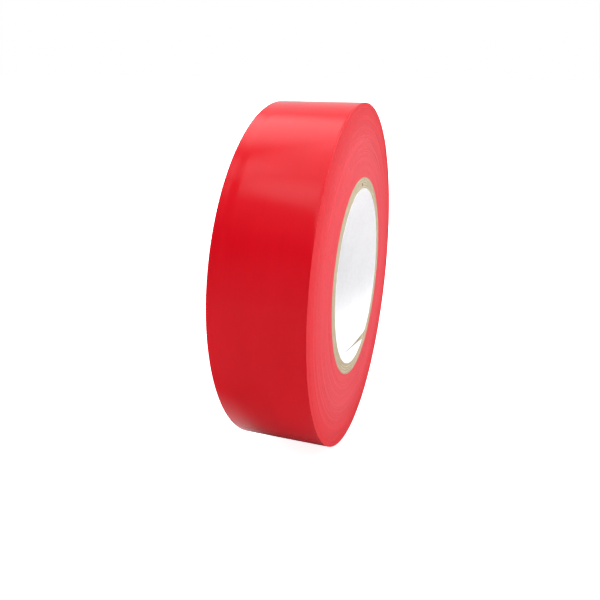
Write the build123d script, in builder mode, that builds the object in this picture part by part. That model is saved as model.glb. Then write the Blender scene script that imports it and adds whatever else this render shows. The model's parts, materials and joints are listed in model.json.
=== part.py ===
from build123d import *
import os
from math import acos, cos, degrees, pi, radians, sin

# A roll of PVC electrical tape on a spiral-wound paper core. It stands on its rim with
# its axis along Y and the origin at the centre of the bore, halfway across the tape.
# Angles are in degrees in the XZ plane, from +X towards +Z, as seen from -Y. All other
# sizes are in millimetres.

# The tape as sold: 18 mm wide and 20 m long, on a core with a 1.5 inch bore.
TAPE_WIDTH = 18.0
TAPE_THICKNESS = 0.14  # film and adhesive together, as wound
ROLL_DIAMETER = 73.5
BORE_DIAMETER = 38.1

# The core's plies, from the bore outwards. Each is one paper strip, wound in a spiral.
LINER_THICKNESS = 0.20  # bleached paper, which shows in the bore
BOARD_THICKNESS = 0.55  # grey chipboard
BOARD_PLIES = 4
COVER_THICKNESS = 0.15  # kraft paper, which the tape is stuck to

# The spiral seam where each ply's strip meets its own edge.
SEAM_LEAD = 36.0  # axial length of one full turn
SEAM_START = -66.0  # where the liner's seam meets the -Y mouth
SEAM_STAGGER = 77.0  # how far round each ply's seam is from the last one's
LINER_SEAM_GAP = 0.8  # round the bore
BOARD_SEAM_GAP = 0.4

# The outer end of the tape, on the roll's upper back.
TIP_ANGLE = 38.0  # where the strip is cut off
FREE_END_LENGTH = 26.0  # the stretch that peels back
ADHESIVE_GAP = 0.03  # soft adhesive under the free end, left as clearance
HINGE_GAP = 0.04  # clearance where the free end meets the lap that it grows from

# The inner end of the tape. The next turn is pulled straight over its edge.
START_ANGLE = 200.0

HALF_WIDTH = TAPE_WIDTH / 2
ROLL_RADIUS = ROLL_DIAMETER / 2
BORE_RADIUS = BORE_DIAMETER / 2
BOARD_RADIUS = BORE_RADIUS + LINER_THICKNESS
COVER_RADIUS = BOARD_RADIUS + BOARD_PLIES * BOARD_THICKNESS
CORE_RADIUS = COVER_RADIUS + COVER_THICKNESS
ROOT_ANGLE = TIP_ANGLE + degrees(FREE_END_LENGTH / ROLL_RADIUS)
LAP_START_ANGLE = ROOT_ANGLE + degrees(HINGE_GAP / ROLL_RADIUS)


def polar(radius, angle):
    """The point at this radius and angle in the roll's side view."""
    return Vector(radius * cos(radians(angle)), radius * sin(radians(angle)))


# A lap of the strip is a turn of a spiral, made of two half circles. Their centres lie
# either side of the roll's, so that they meet smoothly and the radius falls by one
# thickness in a turn. The nearer half runs on from the tip, and the further half
# ends under it.
MIDDLE_ANGLE = TIP_ANGLE + 180
END_ANGLE = TIP_ANGLE + 360
NEAR_CENTRE = polar(TAPE_THICKNESS / 4, TIP_ANGLE)
FAR_CENTRE = polar(TAPE_THICKNESS / 4, MIDDLE_ANGLE)
NEAR_RADIUS = ROLL_RADIUS - TAPE_THICKNESS / 4
FAR_RADIUS = ROLL_RADIUS - TAPE_THICKNESS * 3 / 4


def save(part, name):
    """Labels a finished piece and writes it as its own STEP file."""
    part.label = name
    export_step(part, f"parts/{name}.step")


def seam_cutter(inner_radius, thickness, angle, gap):
    """A twisted bar that leaves a spiral gap through a ply, wherever it crosses it."""
    overrun = 1.0  # past each mouth
    clearance = 0.05  # above and below the ply
    length = TAPE_WIDTH + 2 * overrun
    start_angle = angle + 360 * overrun / SEAM_LEAD
    middle = polar(inner_radius + thickness / 2, start_angle)
    with BuildSketch(Plane.XZ.offset(HALF_WIDTH + overrun)) as section:
        with Locations(Location((middle.X, middle.Y), start_angle)):
            Rectangle(thickness + 2 * clearance, gap)
    mouth = Vector(0, -HALF_WIDTH - overrun, 0)
    return Solid.extrude_linear_with_rotation(
        section.sketch.face(), mouth, Vector(0, length, 0), 360 * length / SEAM_LEAD
    )


def core_ply(name, inner_radius, thickness, seam_angle, seam_gap):
    """One ply of the paper core: a thin tube with its spiral seam."""
    cutter = seam_cutter(inner_radius, thickness, seam_angle, seam_gap)
    with BuildPart() as ply:
        with BuildSketch(Plane.XZ):
            Circle(inner_radius + thickness)
            Circle(inner_radius, mode=Mode.SUBTRACT)
        extrude(amount=HALF_WIDTH, both=True)
        add(cutter, mode=Mode.SUBTRACT)
    save(ply.part, name)


def paper_core():
    """The core, from its white liner to the kraft cover under the tape."""
    core_ply("core_liner", BORE_RADIUS, LINER_THICKNESS, SEAM_START, LINER_SEAM_GAP)
    for index in range(BOARD_PLIES):
        core_ply(
            f"core_board_ply_{index + 1}",
            BOARD_RADIUS + index * BOARD_THICKNESS,
            BOARD_THICKNESS,
            SEAM_START + (index + 1) * SEAM_STAGGER,
            BOARD_SEAM_GAP,
        )
    cover_seam = SEAM_START + (BOARD_PLIES + 1) * SEAM_STAGGER
    core_ply("core_cover_ply", COVER_RADIUS, COVER_THICKNESS, cover_seam, BOARD_SEAM_GAP)


def tape_winding():
    """Every turn under the outermost lap, bonded into one pack."""
    under = TAPE_THICKNESS  # the pack lies one thickness below the outermost lap
    climb_angle = degrees(acos(CORE_RADIUS / (CORE_RADIUS + TAPE_THICKNESS)))
    with BuildPart() as winding:
        with BuildSketch(Plane.XZ):
            with BuildLine():
                near = CenterArc(NEAR_CENTRE, NEAR_RADIUS - under, TIP_ANGLE, 180)
                far = CenterArc(FAR_CENTRE, FAR_RADIUS - under, MIDDLE_ANGLE, 180)
                Line(far @ 1, near @ 0)
            make_face()
            with BuildLine():
                core = CenterArc((0, 0), CORE_RADIUS, START_ANGLE + climb_angle, 360 - climb_angle)
                edge = Line(core @ 1, polar(CORE_RADIUS + TAPE_THICKNESS, START_ANGLE))
                Line(edge @ 1, core @ 0)
            make_face(mode=Mode.SUBTRACT)
        extrude(amount=HALF_WIDTH, both=True)
    save(winding.part, "tape_winding")


def tape_outer_lap():
    """The outermost lap, from the free end's root round to the step under its tip."""
    near_sweep = MIDDLE_ANGLE - LAP_START_ANGLE
    with BuildPart() as lap:
        with BuildSketch(Plane.XZ):
            with BuildLine():
                near = CenterArc(NEAR_CENTRE, NEAR_RADIUS, LAP_START_ANGLE, near_sweep)
                far = CenterArc(FAR_CENTRE, FAR_RADIUS, MIDDLE_ANGLE, 180)
                near_under = CenterArc(
                    NEAR_CENTRE, NEAR_RADIUS - TAPE_THICKNESS, LAP_START_ANGLE, near_sweep
                )
                far_under = CenterArc(
                    FAR_CENTRE, FAR_RADIUS - TAPE_THICKNESS, MIDDLE_ANGLE, 180
                )
                Line(near @ 0, near_under @ 0)
                Line(far @ 1, far_under @ 1)
            make_face()
        extrude(amount=HALF_WIDTH, both=True)
    save(lap.part, "tape_outer_lap")


def tape_free_end():
    """The last stretch of the strip, which lies on the roll until it is peeled back."""
    sweep_angle = ROOT_ANGLE - TIP_ANGLE
    inner_radius = NEAR_RADIUS - TAPE_THICKNESS + ADHESIVE_GAP
    with BuildPart() as free_end:
        with BuildSketch(Plane.XZ):
            with BuildLine():
                top = CenterArc(NEAR_CENTRE, NEAR_RADIUS, TIP_ANGLE, sweep_angle)
                bottom = CenterArc(NEAR_CENTRE, inner_radius, TIP_ANGLE, sweep_angle)
                Line(top @ 0, bottom @ 0)
                Line(top @ 1, bottom @ 1)
            make_face()
        extrude(amount=HALF_WIDTH, both=True)
    save(free_end.part, "tape_free_end")


os.makedirs("parts", exist_ok=True)
paper_core()
tape_winding()
tape_outer_lap()
tape_free_end()

hinge = NEAR_CENTRE + polar(NEAR_RADIUS, ROOT_ANGLE)
pack_area = pi * ((ROLL_RADIUS - TAPE_THICKNESS / 2) ** 2 - CORE_RADIUS**2)
print(f"tape length {pack_area / TAPE_THICKNESS / 1000:.2f} m")
print(f"turns {(ROLL_RADIUS - CORE_RADIUS) / TAPE_THICKNESS:.1f}")
print(f"core radius {CORE_RADIUS:.3f} mm, free end's hinge at x {hinge.X:.4f}, z {hinge.Y:.4f}")
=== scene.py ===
import json
from math import atan2, cos, degrees, pi, radians, sin

import bpy
import numpy as np
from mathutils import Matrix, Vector


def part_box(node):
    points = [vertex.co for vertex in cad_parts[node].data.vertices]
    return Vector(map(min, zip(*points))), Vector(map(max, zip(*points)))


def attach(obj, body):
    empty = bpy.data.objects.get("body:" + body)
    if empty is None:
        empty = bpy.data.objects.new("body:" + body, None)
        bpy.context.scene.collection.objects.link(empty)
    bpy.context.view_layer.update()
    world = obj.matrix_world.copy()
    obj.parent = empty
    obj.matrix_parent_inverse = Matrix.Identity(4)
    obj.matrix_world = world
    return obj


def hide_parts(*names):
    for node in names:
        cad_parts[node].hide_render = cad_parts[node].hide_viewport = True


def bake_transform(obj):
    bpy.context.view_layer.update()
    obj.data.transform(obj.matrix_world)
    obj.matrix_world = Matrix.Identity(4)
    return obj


# A roll of red PVC electrical tape on a paper core, standing on its rim. The axis is Y,
# and angles are in degrees in the XZ plane, from +X towards +Z. The strip and the plies
# are worked out in millimetres and become metres in new_mesh().

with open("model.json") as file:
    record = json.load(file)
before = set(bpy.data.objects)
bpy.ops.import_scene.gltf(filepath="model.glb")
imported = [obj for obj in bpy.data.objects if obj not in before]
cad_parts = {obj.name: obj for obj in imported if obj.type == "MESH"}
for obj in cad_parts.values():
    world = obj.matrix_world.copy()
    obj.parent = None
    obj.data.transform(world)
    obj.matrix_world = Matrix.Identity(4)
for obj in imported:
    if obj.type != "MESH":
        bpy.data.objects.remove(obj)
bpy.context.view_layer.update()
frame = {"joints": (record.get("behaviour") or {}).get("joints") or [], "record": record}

MM = 0.001
RANDOM_SEED = 11
CREASE_ANGLE = 40  # degrees between faces, above which their edge is shaded as sharp

# The strip of tape. Its place along the winding is counted in turns from its inner end.
ROLL_RADIUS = 36.75  # over the tape's outer end
CORE_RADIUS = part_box("core_cover_ply")[1].x / MM
HALF_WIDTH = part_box("tape_outer_lap")[1].y / MM
START_ANGLE = 200.0  # inner end
TIP_ANGLE = 38.0  # outer end
STRIP_TURNS = 107 + (START_ANGLE - TIP_ANGLE) / 360
PITCH = (ROLL_RADIUS - CORE_RADIUS) / (STRIP_TURNS + 1)
HINGE = Vector(frame["joints"][0]["pos_m"])
ROOT_TURNS = STRIP_TURNS - (degrees(atan2(HINGE.z, HINGE.x)) - TIP_ANGLE) / 360
ADHESIVE_GAP = 0.03  # under the free end
PEEL_FOLD = 1.5  # along the free end from its root, a stretch that has closer points

# How the sides of the winding vary from turn to turn.
STEPS_PER_TURN = 180
GROOVE_DEPTH = 0.02
TURN_WANDER = 0.009  # sideways, from one half turn to the next
DRIFT_WANDER = 0.014  # sideways, over several turns
DRIFT_TURNS = 5
FIRST_CLIMB = 0.03  # share of the first turn that climbs over the inner end
CLIMB_SPREAD = 24  # turns until that climb has spread right round
BACK_PATTERN = 400  # turns between the patterns of the front face and the back face

# The outermost lap and the free end, and the points round their cross-section.
EDGE_ROUNDING = 0.05
CORNER_SHARE = 0.3  # of that rounding, where the corner has its middle point
SHOULDER_WIDTH = 2.4  # where the surface falls away towards each edge
SHOULDER_DROP = 0.006
TOP_FINE_FROM = 4.0  # the points lie closer together beyond this, where the turns sank
TOP_POINTS = (24, 26)  # on either side of it
UNDER_FINE_FROM = 5.0
UNDER_POINTS = (10, 4)
LAP_STEPS = 330
FOLD_STEPS = 24
FLAP_STEPS = 75

# The outer turns have sunk a little near the +Y edge, at one place on the roll.
SINK_PLACE = 6.7
SINK_WIDTH = 1.9
SINK_DEPTH = 0.12
SINK_ANGLE = 132.0
SINK_SPREAD = 50.0  # degrees either way
SINK_TURNS = 25
SINK_ROWS = 7  # of points along the winding's rim

# The paper plies of the core, and their spiral seams.
SEAM_LEAD = 36.0
SEAM_START = -68.0  # the liner's seam at the -Y mouth
SEAM_STAGGER = 77.0
BOARD_PLIES = 4
BORE_RADIUS = frame["record"]["mounts"][0]["dims"]["r_mm"]
PLY_STEPS = 180
PLY_ROWS = 50
PLY_ROW_START = 0.5  # from each end
CUT_ROWS = (0.0, 0.03, 0.09, 0.25)  # closer rows from each end, which the cut crushed
CUT_FILL = (0.72, 0.93, 1.0, 1.0)  # share of the ply's thickness that is left there
CUT_ROUGHNESS = 0.012
CUT_REACH = 0.05
LINER_SEAM_GAP = 0.05
BOARD_SEAM_GAP = 0.4
FLARE_WIDTH = 1.8  # how far the liner's seam has opened at the mouth
FLARE_DEPTH = 1.6
FLARE_CURVE = 1.4
LIFT_HEIGHT = 0.75  # of the liner's loose corner
LIFT_LENGTH = 1.5
LIFT_SPREAD = 3.0

# The camera, aimed at the roll's centre, and how far the picture is shifted.
CAMERA_AZIMUTH = -73.0
CAMERA_ELEVATION = 20.7
CAMERA_DISTANCE = 0.1263
CAMERA_LENS = 33.63
CAMERA_SHIFT = (-0.0324, -0.0470)
CAMERA_CLIP = 0.005

# The stage.
FLOOR_SIZE = 2.5
FLOOR_WHITE = 0.95
FLOOR_GLOW = 0.84
SOFTBOX = (-0.14, -0.22, 0.965)  # its direction from the roll
AMBIENT = 0.03

rng = np.random.default_rng(RANDOM_SEED)


# ---------------------------------------------------------------- shapes


def new_mesh(name, points, faces, materials, face_slots=None, strip=None):
    """A smooth-shaded object from points in millimetres, with creases left sharp. strip
    holds the coordinates that its materials are patterned by."""
    mesh = bpy.data.meshes.new(name)
    mesh.from_pydata([tuple(p) for p in np.asarray(points) * MM], [], faces)
    for material in materials:
        mesh.materials.append(material)
    if face_slots is not None:
        mesh.polygons.foreach_set("material_index", face_slots)
    if strip is not None:
        attribute = mesh.attributes.new("strip", "FLOAT_VECTOR", "POINT")
        attribute.data.foreach_set("vector", np.asarray(strip, np.float32).ravel())
    mesh.polygons.foreach_set("use_smooth", [True] * len(mesh.polygons))
    mesh.set_sharp_from_angle(angle=radians(CREASE_ANGLE))
    mesh.validate()
    piece = bpy.data.objects.new(name, mesh)
    bpy.context.scene.collection.objects.link(piece)
    return piece


def on_cylinder(radius, angle, y):
    """Points at these radii, angles in degrees and places across the roll."""
    turn = np.radians(angle)
    return np.stack([radius * np.cos(turn), y + 0 * turn, radius * np.sin(turn)], axis=-1)


def strip_angle(turns):
    """The strip runs clockwise outwards, as seen from -Y."""
    return START_ANGLE - 360 * turns


def strip_length(turns):
    """Millimetres along the strip, with every turn as long as the outermost one."""
    return 2 * pi * ROLL_RADIUS * turns


def strip_radius(turns):
    """The radius of the strip's underside. Near the core each turn lies flat and then
    climbs at the inner end's edge, and further out it climbs all the way round."""
    whole = np.floor(turns)
    share = np.minimum(1, FIRST_CLIMB + whole / CLIMB_SPREAD)
    climb = np.maximum(0, (turns - whole - 1 + share) / share)
    return CORE_RADIUS + PITCH * (whole + climb)


def sink(y, angle):
    """How far the outermost turns have sunk, at this place across and round the roll."""
    share = np.clip((y - SINK_PLACE) / SINK_WIDTH + 0.5, 0, 1)
    away = (angle - SINK_ANGLE + 180) % 360 - 180
    near = np.clip(1 - (away / SINK_SPREAD) ** 2, 0, 1)
    return SINK_DEPTH * near**2 * share**2 * (3 - 2 * share)


# Sideways offsets along the strip, with a few to spare beyond its outer end.
half_turn_offsets = rng.normal(0, TURN_WANDER, int(2 * STRIP_TURNS) + 4)
drift_offsets = rng.normal(0, DRIFT_WANDER, int(STRIP_TURNS / DRIFT_TURNS) + 4)


def wander(turns):
    """How far sideways the strip was laid, at this place along it."""
    fast = np.interp(2 * turns, np.arange(len(half_turn_offsets)), half_turn_offsets)
    slow = np.interp(turns / DRIFT_TURNS, np.arange(len(drift_offsets)), drift_offsets)
    return fast + slow


def winding_turns(side_material, film_material):
    """The bonded pack of turns under the outermost lap, with a ridge for every turn."""
    last = round(STRIP_TURNS * STEPS_PER_TURN)
    crowns = last - STEPS_PER_TURN + 1  # one for every step of the pack's strip
    groove_turns = np.arange(last + 1) / STEPS_PER_TURN
    crown_turns = np.arange(crowns) / STEPS_PER_TURN
    turns = np.concatenate([groove_turns, crown_turns])
    radius = np.concatenate([strip_radius(groove_turns), strip_radius(crown_turns) + PITCH / 2])
    inset = np.concatenate([np.full(last + 1, GROOVE_DEPTH), np.zeros(crowns)])
    sunk = np.clip((turns - STRIP_TURNS + 1) / SINK_TURNS + 1, 0, 1)
    sides = [
        on_cylinder(
            radius - sunk * sink(side * HALF_WIDTH, strip_angle(turns)),
            strip_angle(turns),
            wander(turns) + side * (HALF_WIDTH - inset),
        )
        for side in (-1, 1)
    ]
    count = len(turns)
    crown = last + 1
    front = []
    for i in range(crowns - 1):
        front.append((i, i + 1, crown + i + 1, crown + i))
        front.append((crown + i, crown + i + 1, i + 1 + STEPS_PER_TURN, i + STEPS_PER_TURN))
    back = [tuple(count + i for i in reversed(face)) for face in front]
    bore = [(i + 1, i, count + i, count + i + 1) for i in range(STEPS_PER_TURN)]
    strip = np.tile(np.stack([strip_length(turns), turns, radius], axis=-1), (2, 1))
    strip[count:, 1] += BACK_PATTERN

    # The rim lies between the two sides, in rows that follow its profile.
    rim_start = last - STEPS_PER_TURN
    rim_turns = groove_turns[rim_start:]
    half_sink = SINK_WIDTH / 2
    rows = [np.arange(rim_start, last + 1)]
    points = list(sides)
    coordinates = [strip]
    for y in np.linspace(SINK_PLACE - half_sink, SINK_PLACE + half_sink, SINK_ROWS):
        rows.append(2 * count + (len(rows) - 1) * len(rim_turns) + np.arange(len(rim_turns)))
        rim_radius = strip_radius(rim_turns) - sink(y, strip_angle(rim_turns))
        points.append(on_cylinder(rim_radius, strip_angle(rim_turns), y + wander(rim_turns)))
        length = strip_length(rim_turns)
        coordinates.append(np.stack([length, length * 0 + y, rim_radius], axis=-1))
    rows.append(count + rows[0])
    rim = []
    for low, high in zip(rows, rows[1:]):
        rim += [(low[i], low[i + 1], high[i + 1], high[i]) for i in range(STEPS_PER_TURN)]
    for row, y in ((rows[0], -HALF_WIDTH), (rows[-1], HALF_WIDTH)):
        strip[row, 1] = y  # the film's pattern goes on to the rim's edges

    inner_end = (0, crown, STEPS_PER_TURN, count + STEPS_PER_TURN, count + crown, count)
    crown_end = crown + crowns - 1
    outer_end = [rim_start, crown_end, *(row[-1] for row in rows), count + crown_end]
    outer_end += [row[0] for row in reversed(rows[1:])]
    ends = [inner_end, tuple(reversed(outer_end))]
    faces = front + back + bore + rim + ends
    slots = [0] * (len(front) + len(back) + len(bore)) + [1] * len(rim) + [0] * len(ends)
    faces = [tuple(int(i) for i in face) for face in faces]
    return new_mesh(
        "winding_turns",
        np.concatenate(points),
        faces,
        [side_material, film_material],
        slots,
        np.concatenate(coordinates),
    )


def top_profile():
    """Places across the strip's top face, as (y, how far under the full radius)."""
    flat = HALF_WIDTH - EDGE_ROUNDING
    coarse = np.linspace(-flat, TOP_FINE_FROM, TOP_POINTS[0])
    fine = np.linspace(TOP_FINE_FROM, flat, TOP_POINTS[1])
    across = np.concatenate([coarse[:-1], fine])
    shoulder = np.clip((np.abs(across) - HALF_WIDTH + SHOULDER_WIDTH) / SHOULDER_WIDTH, 0, 1)
    drop = SHOULDER_DROP * shoulder**2
    corner = HALF_WIDTH - EDGE_ROUNDING * CORNER_SHARE
    rounding = [(corner, CORNER_SHARE), (HALF_WIDTH, 1.0)]
    low_edge = [(-y, drop[0] + EDGE_ROUNDING * share) for y, share in reversed(rounding)]
    high_edge = [(y, drop[-1] + EDGE_ROUNDING * share) for y, share in rounding]
    return low_edge + list(zip(across, drop)) + high_edge


def underside_places():
    """Places across the strip's underside, back from the +Y edge to the -Y edge."""
    corner = HALF_WIDTH - EDGE_ROUNDING * CORNER_SHARE
    fine = np.linspace(corner, UNDER_FINE_FROM, UNDER_POINTS[0])
    coarse = np.linspace(0, -corner, UNDER_POINTS[1])
    return np.concatenate([fine, coarse])


def strip_stretch(name, stations, gap, materials, slots):
    """A stretch of the outermost lap, with a loop of points at each of the stations, in
    turns. slots are for its top, edges and underside."""
    top = top_profile()
    underside = underside_places()
    loops = []
    coordinates = []
    for turns in stations:
        low = float(strip_radius(turns))
        angle = strip_angle(turns)
        shift = float(wander(turns))
        loop = [(low + PITCH - drop - sink(y, angle), y) for y, drop in top]
        loop += [(low + gap - sink(y, angle), y) for y in underside]
        loops += [on_cylinder(radius, angle, y + shift) for radius, y in loop]
        coordinates += [(strip_length(turns), y, radius) for radius, y in loop]
    steps = len(stations) - 1
    ring = len(top) + len(underside)
    faces = []
    face_slots = []
    for step in range(steps):
        for j in range(ring):
            following = (j + 1) % ring
            a, b = step * ring, (step + 1) * ring
            faces.append((a + j, b + j, b + following, a + following))
            on_top = 1 < j < len(top) - 2
            under = len(top) <= j < ring - 1
            face_slots.append(slots[0] if on_top else slots[2] if under else slots[1])
    faces.append(tuple(range(ring)))
    faces.append(tuple(steps * ring + j for j in reversed(range(ring))))
    face_slots += [slots[1], slots[1]]
    return new_mesh(name, loops, faces, materials, face_slots, coordinates)


def ply(name, inner, outer, seam_angle, gap, material, flare=0.0, lift=0.0):
    """One paper ply of the core with its spiral seam, and both ends crushed and rough
    from the cut. flare opens the seam at the -Y mouth, and lift raises its corner."""
    ends = np.array(CUT_ROWS)
    first_row = HALF_WIDTH - PLY_ROW_START
    between = np.linspace(-first_row, first_row, PLY_ROWS)
    rows = np.concatenate([ends - HALF_WIDTH, between, HALF_WIDTH - ends[::-1]])
    fills = np.concatenate([CUT_FILL, np.ones(PLY_ROWS), CUT_FILL[::-1]])
    thickness = outer - inner
    middle = (inner + outer) / 2
    share = np.linspace(0, 1, PLY_STEPS + 1)
    along = share * 2 * pi * middle
    rough_front, rough_back = rng.normal(0, CUT_ROUGHNESS, (2, PLY_STEPS + 1))
    points = []
    coordinates = []
    for side in (-1, 1):
        for y, fill in zip(rows, fills):
            depth = y + HALF_WIDTH
            opening = gap + flare * max(0.0, 1 - depth / FLARE_DEPTH) ** FLARE_CURVE
            gap_angle = degrees(opening / middle)
            seam = seam_angle - 360 * depth / SEAM_LEAD
            angle = seam + share * (360 - gap_angle)
            radius = middle + side * thickness / 2 * fill
            lift_here = lift * np.exp(-((depth / LIFT_LENGTH) ** 2) / LIFT_SPREAD)
            curl = lift_here * np.exp(-along / LIFT_LENGTH)
            end_near = np.exp(-depth / CUT_REACH) * rough_front
            end_far = np.exp(-(HALF_WIDTH - y) / CUT_REACH) * rough_back
            points.append(on_cylinder(radius - curl, angle, y + end_near + end_far))
            coordinates.append(np.stack([along, along * 0 + y, along * 0 + radius], axis=-1))
    columns = PLY_STEPS + 1
    layer = len(rows) * columns
    faces = []
    for j in range(len(rows) - 1):
        for i in range(PLY_STEPS):
            a = j * columns + i
            quad = (a, a + 1, a + 1 + columns, a + columns)
            faces.append(quad)
            faces.append(tuple(layer + k for k in reversed(quad)))
        for i, order in ((0, 1), (PLY_STEPS, -1)):
            a = j * columns + i
            faces.append((a, a + columns, layer + a + columns, layer + a)[::order])
    for j, order in ((0, 1), (len(rows) - 1, -1)):
        for i in range(PLY_STEPS):
            a = j * columns + i
            faces.append((a, layer + a, layer + a + 1, a + 1)[::order])
    strip = np.concatenate(coordinates)
    return new_mesh(name, np.concatenate(points), faces, [material], None, strip)


# ---------------------------------------------------------------- materials


class Shader:
    """A material's node tree, with one call to add and link each node."""

    def __init__(self, name, **sockets):
        self.material = bpy.data.materials.new(name)
        self.material.use_nodes = True
        self.tree = self.material.node_tree
        self.surface = self.tree.nodes["Principled BSDF"]
        self.set(self.surface, sockets)

    def set(self, node, sockets):
        for socket, value in sockets.items():
            target = node.inputs[socket if isinstance(socket, int) else socket.replace("_", " ")]
            if isinstance(value, bpy.types.NodeSocket):
                self.tree.links.new(value, target)
            else:
                target.default_value = value

    def add(self, kind, sockets, output=0, **settings):
        node = self.tree.nodes.new("ShaderNode" + kind)
        for setting, value in settings.items():
            setattr(node, setting, value)
        self.set(node, sockets)
        return node.outputs[output]

    def strip_place(self):
        """The piece's own coordinates in millimetres or turns: along, across, radius."""
        return self.add("Attribute", {}, "Vector", attribute_name="strip")

    def object_place(self):
        return self.add("TexCoord", {}, "Object")

    def strip(self, stretch):
        sockets = {0: self.strip_place(), 1: stretch}
        return self.add("VectorMath", sockets, operation="MULTIPLY")

    def object(self, scale):
        sockets = {0: self.object_place(), 1: (scale, scale, scale)}
        return self.add("VectorMath", sockets, operation="MULTIPLY")

    def noise(self, where, detail=3.0, roughness=0.5):
        sockets = {"Vector": where, "Scale": 1.0, "Detail": detail, "Roughness": roughness}
        return self.add("TexNoise", sockets)

    def range(self, value, low, high, to_low, to_high):
        return self.add("MapRange", {0: value, 1: low, 2: high, 3: to_low, 4: to_high})

    def vary(self, noise, to_low, to_high, spread=0.2):
        """A level that follows a noise, within this spread of the noise's mean."""
        return self.range(noise, 0.5 - spread, 0.5 + spread, to_low, to_high)

    def ramp(self, noise, dark, light, spread=0.2):
        """A colour that follows a noise in the same way."""
        node = self.tree.nodes.new("ShaderNodeValToRGB")
        self.tree.links.new(noise, node.inputs[0])
        stops = ((0.5 - spread, dark), (0.5 + spread, light))
        for element, (position, colour) in zip(node.color_ramp.elements, stops):
            element.position = position
            element.color = (*colour, 1)
        return node.outputs[0]

    def maths(self, operation, a, b):
        return self.add("Math", {0: a, 1: b}, operation=operation)

    def mix(self, factor, a, b, blend_type="MIX"):
        sockets = {0: factor, 6: a, 7: b}
        return self.add("Mix", sockets, 2, data_type="RGBA", blend_type=blend_type)

    def bump(self, height, distance, under=None):
        sockets = {"Height": height, "Distance": distance * MM, "Strength": 1.0}
        if under is not None:
            sockets["Normal"] = under
        return self.add("Bump", sockets)

    def finish(self, colour, roughness, normal):
        """The finished material, with what varies over its surface."""
        varied = {"Base Color": colour, "Roughness": roughness, "Normal": normal}
        self.set(self.surface, varied)
        return self.material


def film_material():
    """Glossy calendered PVC film, as on the rim."""
    shader = Shader("red_pvc_film", Specular_IOR_Level=0.22)
    clouds = shader.noise(shader.strip((0.05, 0.12, 1)), 3)
    streaks = shader.noise(shader.strip((0.02, 2.2, 1)), 2)
    grain = shader.noise(shader.strip((0.9, 1.6, 1)), 4, 0.6)
    fine = shader.noise(shader.strip((5.0, 9.0, 1)), 2)
    colour = shader.ramp(clouds, (0.58, 0.0035, 0.010), (0.625, 0.005, 0.013))
    colour = shader.mix(1.0, colour, shader.vary(streaks, 0.985, 1.012), "MULTIPLY")
    roughness = shader.vary(grain, 0.11, 0.16)
    return shader.finish(colour, roughness, shader.bump(fine, 0.0005, shader.bump(grain, 0.0015)))


def side_material():
    """The slit edges of the turns, duller than the film's face, and paler near the core as a
    painted sheen.
    """
    shader = Shader("red_pvc_edges", Specular_IOR_Level=0.32)
    bands = shader.noise(shader.strip((0.004, 0.35, 0)), 4, 0.7)
    turns = shader.noise(shader.strip((0.01, 2.0, 0)), 1)
    specks = shader.noise(shader.object(2600), 2)
    # Painted sheen: the colour is paler towards the core and fades to the deeper red towards the
    # rim.
    sheen_pale_radius = ROLL_RADIUS - 8.0
    sheen_free_radius = ROLL_RADIUS - 0.5
    radius = shader.add("SeparateXYZ", {0: shader.strip_place()}, "Z")
    painted_sheen_fade = shader.range(radius, sheen_pale_radius, sheen_free_radius, 0.0, 1.0)
    inner = shader.ramp(bands, (0.74, 0.042, 0.057), (0.82, 0.065, 0.082))
    outer = shader.ramp(bands, (0.70, 0.007, 0.016), (0.77, 0.014, 0.026))
    colour = shader.mix(painted_sheen_fade, inner, outer)
    turn_shade = shader.vary(turns, 0.93, 1.05)
    shade = shader.maths("MULTIPLY", turn_shade, shader.vary(specks, 0.96, 1.04))
    colour = shader.mix(1.0, colour, shade, "MULTIPLY")
    return shader.finish(colour, shader.vary(bands, 0.42, 0.55), shader.bump(specks, 0.004))


def adhesive_material():
    """The tacky rubber adhesive under the free end."""
    shader = Shader("red_adhesive", Specular_IOR_Level=0.5)
    ripple = shader.noise(shader.strip((0.5, 1.3, 1)), 4, 0.6)
    colour = shader.ramp(ripple, (0.36, 0.006, 0.010), (0.47, 0.014, 0.018))
    return shader.finish(colour, shader.vary(ripple, 0.16, 0.34), shader.bump(ripple, 0.02))


def paper_material(name, dark, light, fibre_bump, roughness):
    """Paper or board with fibres that lie mostly along the strip it was wound from."""
    shader = Shader(name, Specular_IOR_Level=0.3)
    fibres = shader.noise(shader.object(1400), 5, 0.65)
    long_fibres = shader.noise(shader.strip((0.5, 4.0, 6.0)), 4, 0.6)
    blotches = shader.noise(shader.strip((0.15, 0.2, 0.5)), 3)
    short_share = shader.maths("MULTIPLY", fibres, 0.4)
    long_share = shader.maths("MULTIPLY", long_fibres, 0.35)
    blotch_share = shader.maths("MULTIPLY", blotches, 0.25)
    mottle = shader.maths("ADD", shader.maths("ADD", short_share, long_share), blotch_share)
    colour = shader.ramp(mottle, dark, light, 0.15)
    normal = shader.bump(long_fibres, fibre_bump, shader.bump(fibres, fibre_bump))
    return shader.finish(colour, roughness, normal)


# ---------------------------------------------------------------- the object


def place(piece, body, slot, *nodes):
    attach(piece, body)
    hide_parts(*nodes)


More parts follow.
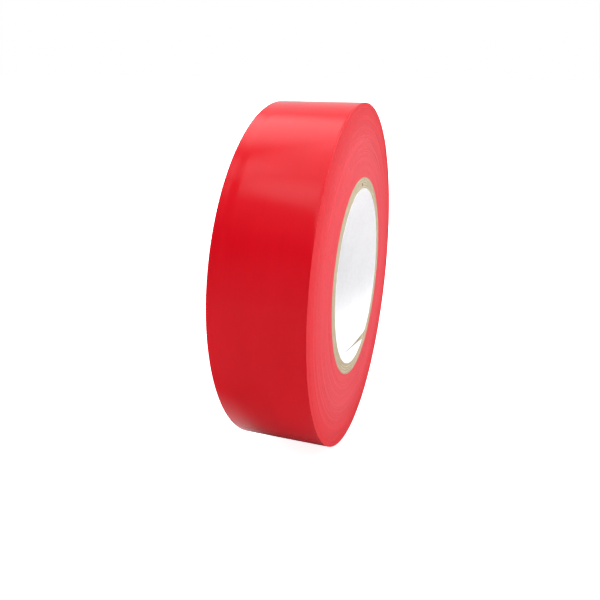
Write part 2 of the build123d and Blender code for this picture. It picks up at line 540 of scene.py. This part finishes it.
def build_core():
    liner = paper_material("liner_paper", (0.82, 0.82, 0.835), (0.90, 0.90, 0.915), 0.005, 0.6)
    board = paper_material("grey_board", (0.40, 0.335, 0.225), (0.56, 0.48, 0.335), 0.02, 0.85)
    kraft = paper_material("kraft_paper", (0.42, 0.31, 0.20), (0.56, 0.44, 0.31), 0.015, 0.8)
    nodes = ["core_liner"]
    nodes += [f"core_board_ply_{i + 1}" for i in range(BOARD_PLIES)]
    nodes += ["core_cover_ply"]
    inner = BORE_RADIUS
    for index, node in enumerate(nodes):
        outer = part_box(node)[1].x / MM
        seam = SEAM_START + index * SEAM_STAGGER
        size = (inner, outer, seam)
        if node == "core_liner":
            piece = ply("liner_strip", *size, LINER_SEAM_GAP, liner, FLARE_WIDTH, LIFT_HEIGHT)
            place(piece, "roll", "core_liner", node)
        elif node == "core_cover_ply":
            piece = ply("cover_strip", *size, BOARD_SEAM_GAP, kraft)
            place(piece, "roll", "core_cover", node)
        else:
            piece = ply(f"board_strip_{index}", *size, BOARD_SEAM_GAP, board)
            place(piece, "roll", "core_board", node)
        inner = outer


def build_tape():
    film = film_material()
    side = side_material()
    adhesive = adhesive_material()
    place(winding_turns(side, film), "roll", "tape_side", "tape_winding")
    lap_stations = np.linspace(STRIP_TURNS - 1, ROOT_TURNS, LAP_STEPS + 1)
    lap = strip_stretch("outer_lap_strip", lap_stations, 0.0, [film, side], (0, 1, 1))
    place(lap, "roll", "tape_film", "tape_outer_lap")
    fold_end = ROOT_TURNS + PEEL_FOLD / (2 * pi * ROLL_RADIUS)
    fold = np.linspace(ROOT_TURNS, fold_end, FOLD_STEPS + 1)
    rest = np.linspace(fold_end, STRIP_TURNS, FLAP_STEPS + 1)
    end_stations = np.concatenate([fold, rest[1:]])
    free_end = strip_stretch(
        "free_end_strip", end_stations, ADHESIVE_GAP, [film, side, adhesive], (0, 1, 2)
    )
    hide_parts("tape_free_end")
    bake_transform(free_end)


# ---------------------------------------------------------------- the stage


def build_floor():
    """A white floor. Painted shade makes it darker near the roll in the light it bounces, and
    the film's gloss sees it dim, with a bright patch beside the roll as a painted reflection."""
    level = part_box("tape_outer_lap")[0].z
    edge = FLOOR_SIZE
    corners = [(-edge, -edge), (edge, -edge), (edge, edge), (-edge, edge)]
    mesh = bpy.data.meshes.new("floor")
    mesh.from_pydata([(x, y, level) for x, y in corners], [], [(0, 1, 2, 3)])
    shader = Shader("white_floor", Roughness=0.6, Specular_IOR_Level=0.0)

    def around(x, y, near, far, near_level, far_level):
        """A level that changes with the distance from one spot on the floor."""
        sockets = {0: shader.object_place(), 1: (x * MM, y * MM, level)}
        distance = shader.add("VectorMath", sockets, "Value", operation="DISTANCE")
        levels = {0: distance, 1: near * MM, 2: far * MM, 3: near_level, 4: far_level}
        return shader.add("MapRange", levels, interpolation_type="SMOOTHSTEP")

    glossy = shader.add("LightPath", {}, "Is Glossy Ray")
    seen = shader.add("LightPath", {}, "Is Camera Ray")
    # Painted shade: the light bounced from the floor is darker near the roll, where the roll's
    # shadow falls.
    painted_shade_bounce = around(0, 0, 25, 80, 0.5, 0.74)
    # Painted reflection: in the film's gloss the floor is a bright patch beside the roll, like a
    # sheet of white board lying there, and dim elsewhere.
    gloss_patch_painted_reflection = around(-22, 34, 17, 27, 1.0, 0.2)
    seen_colour = (FLOOR_WHITE, FLOOR_WHITE, FLOOR_WHITE, 1)
    shader.set(
        shader.surface,
        {
            "Base Color": shader.mix(seen, shader.mix(glossy, painted_shade_bounce, gloss_patch_painted_reflection), seen_colour),
            "Emission Color": (1, 1, 1, 1),
            "Emission Strength": shader.maths("MULTIPLY", seen, FLOOR_GLOW),
        },
    )
    mesh.materials.append(shader.material)
    floor = bpy.data.objects.new("floor", mesh)
    bpy.context.scene.collection.objects.link(floor)


def build_light():
    """A white room with soft lights round it, each a direction, an angle and a radiance.
    The camera sees plain white instead."""
    world = bpy.data.worlds.new("studio")
    bpy.context.scene.world = world
    world.use_nodes = True
    tree = world.node_tree
    background = tree.nodes["Background"]
    look = tree.nodes.new("ShaderNodeTexCoord").outputs["Generated"]

    def lobe(direction, full, none, radiance):
        """Full radiance within one angle of a direction, fading to nothing at another."""
        dot = tree.nodes.new("ShaderNodeVectorMath")
        dot.operation = "DOT_PRODUCT"
        tree.links.new(look, dot.inputs[0])
        dot.inputs[1].default_value = Vector(direction).normalized()
        fade = tree.nodes.new("ShaderNodeMapRange")
        fade.interpolation_type = "SMOOTHSTEP"
        tree.links.new(dot.outputs["Value"], fade.inputs["Value"])
        fade.inputs["From Min"].default_value = cos(radians(none))
        fade.inputs["From Max"].default_value = cos(radians(full))
        fade.inputs["To Min"].default_value = 0.0
        fade.inputs["To Max"].default_value = radiance
        return fade.outputs[0]

    def add(total, level):
        """The sum of two sockets, or of a socket and a number."""
        node = tree.nodes.new("ShaderNodeMath")
        tree.links.new(total, node.inputs[0])
        if isinstance(level, bpy.types.NodeSocket):
            tree.links.new(level, node.inputs[1])
        else:
            node.inputs[1].default_value = level
        return node.outputs[0]

    lobes = [
        lobe(SOFTBOX, 36.8, 38.8, 1.4),  # softbox overhead
        lobe(SOFTBOX, 37, 59, 0.4),  # its spill
        lobe((-0.31, 0.35, 0.88), 1, 9, 1.1),  # one of its lamps, near its edge
        lobe((-0.07, 0.47, 0.88), 4, 9, 0.9),  # another, beyond its edge
        lobe((0.37, -0.37, 0.85), 6, 20, 12.0),  # key light, on the open face's side
        lobe((0.47, 0.36, 0.80), 2, 20, 1.8),  # lamp above and behind
        lobe((0.9, 0.2, 0.35), 25, 80, 0.62),  # pale wall behind
        lobe((-0.97, 0.25, -0.05), 5, 35, 0.3),  # far side of the room
        lobe((0.5, -0.85, 0.2), 20, 60, 0.4),  # reflector beside the open face
        lobe((-0.25, 1.0, 0.1), 15, 45, 2.2),  # reflector beyond the other face
    ]
    total = lobes[0]
    for light in lobes[1:]:
        total = add(total, light)
    choose = tree.nodes.new("ShaderNodeMix")
    seen = tree.nodes.new("ShaderNodeLightPath").outputs["Is Camera Ray"]
    tree.links.new(seen, choose.inputs[0])
    tree.links.new(add(total, AMBIENT), choose.inputs[2])
    choose.inputs[3].default_value = 1.0
    tree.links.new(choose.outputs[0], background.inputs["Strength"])
    background.inputs["Color"].default_value = (1, 1, 1, 1)


def build_camera():
    azimuth, elevation = radians(CAMERA_AZIMUTH), radians(CAMERA_ELEVATION)
    away = Vector((sin(azimuth) * cos(elevation), -cos(azimuth) * cos(elevation), sin(elevation)))
    data = bpy.data.cameras.new("camera")
    data.lens = CAMERA_LENS
    data.shift_x, data.shift_y = CAMERA_SHIFT
    data.clip_start = CAMERA_CLIP
    camera = bpy.data.objects.new("camera", data)
    camera.location = away * CAMERA_DISTANCE
    camera.rotation_euler = away.to_track_quat("Z", "Y").to_euler()
    bpy.context.scene.collection.objects.link(camera)
    bpy.context.scene.camera = camera


build_camera()
build_core()
build_tape()
build_floor()
build_light()
bpy.context.scene.view_settings.view_transform = "Standard"
